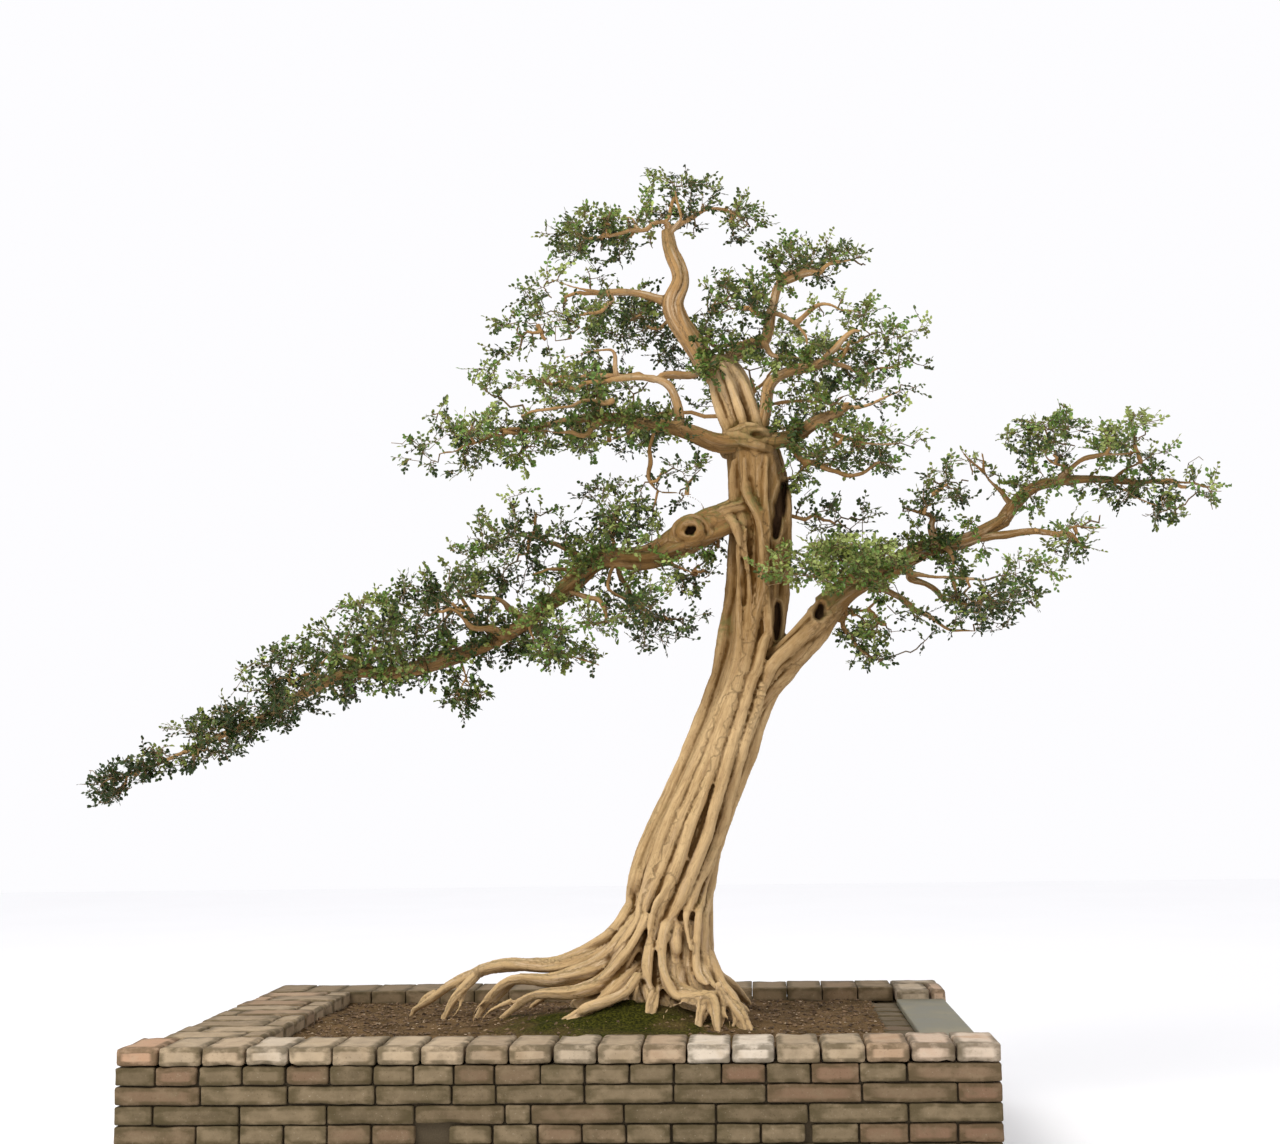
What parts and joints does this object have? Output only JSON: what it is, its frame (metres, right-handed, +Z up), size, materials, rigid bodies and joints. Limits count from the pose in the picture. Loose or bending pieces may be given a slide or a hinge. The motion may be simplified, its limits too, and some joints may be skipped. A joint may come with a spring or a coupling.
{
  "type": "bonsai tree in a brick planter",
  "caption": "Large landscape bonsai with a leaning sinewy trunk, spreading surface roots and open leaf pads on long level boughs, growing in a low rectangular planter of stacked bricks.",
  "frame": {"origin": "centre of the flat underside of the planter's floor course", "axes": "+Z up, +X towards the tree's right-hand bough along the planter's long side, +Y towards the planter's back"},
  "size_m": [3.6845, 1.704, 3.1454],
  "materials": {
    "bark": "pale, smooth, grooved bark",
    "young_bark": "warm tan bark",
    "leaf": "satin leaves",
    "brick": "weathered grey-brown brick",
    "coping_brick": "paler weathered brick with worn arrises",
    "slate": "smooth grey slab",
    "soil": "dark crumbly soil with moss"
  },
  "bodies": {
    "root": {"apex_left": "leaf", "apex_right": "leaf", "apex_top": "leaf", "back_bough": "young_bark", "back_crown": "leaf", "back_hanging": "leaf", "back_left": "leaf", "coping_back": "coping_brick", "coping_front": "coping_brick", "coping_left": "coping_brick", "corner_bricks": "coping_brick", "crown_right_bough": "young_bark", "crown_right_side": "leaf", "crown_right_tip": "leaf", "floor_course": "brick", "fourth_left": "leaf", "fourth_left_bough": "young_bark", "hanging": "leaf", "leader": "young_bark", "left_bough_inner": "young_bark", "left_bough_outer": "young_bark", "left_elbow_top": "leaf", "left_fifth": "leaf", "left_fourth": "leaf", "left_mid_top": "leaf", "left_sixth": "leaf", "left_third_top": "leaf", "left_tip": "leaf", "left_trunk_side": "leaf", "left_under_inner": "leaf", "left_under_near": "leaf", "low_right": "leaf", "lower_left_pad": "leaf", "mid_left_bough": "young_bark", "mid_left_top": "leaf", "mid_right": "leaf", "mid_right_bough": "young_bark", "right_bough_inner": "young_bark", "right_bough_outer": "young_bark", "right_front": "leaf", "right_inner_under": "leaf", "right_outer_a": "leaf", "right_outer_b": "leaf", "right_side": "leaf", "right_tip": "leaf", "right_top": "leaf", "right_under_outer": "leaf", "side_slab": "slate", "soil": "soil", "third_left": "leaf", "trunk": "bark", "upper_back": "leaf", "upper_left": "leaf", "upper_left_bough": "young_bark", "upper_right": "leaf", "upper_right_bough": "young_bark", "wall_back": "brick", "wall_front": "brick", "wall_left": "brick", "wall_right": "brick"}
  },
  "joints": []
}
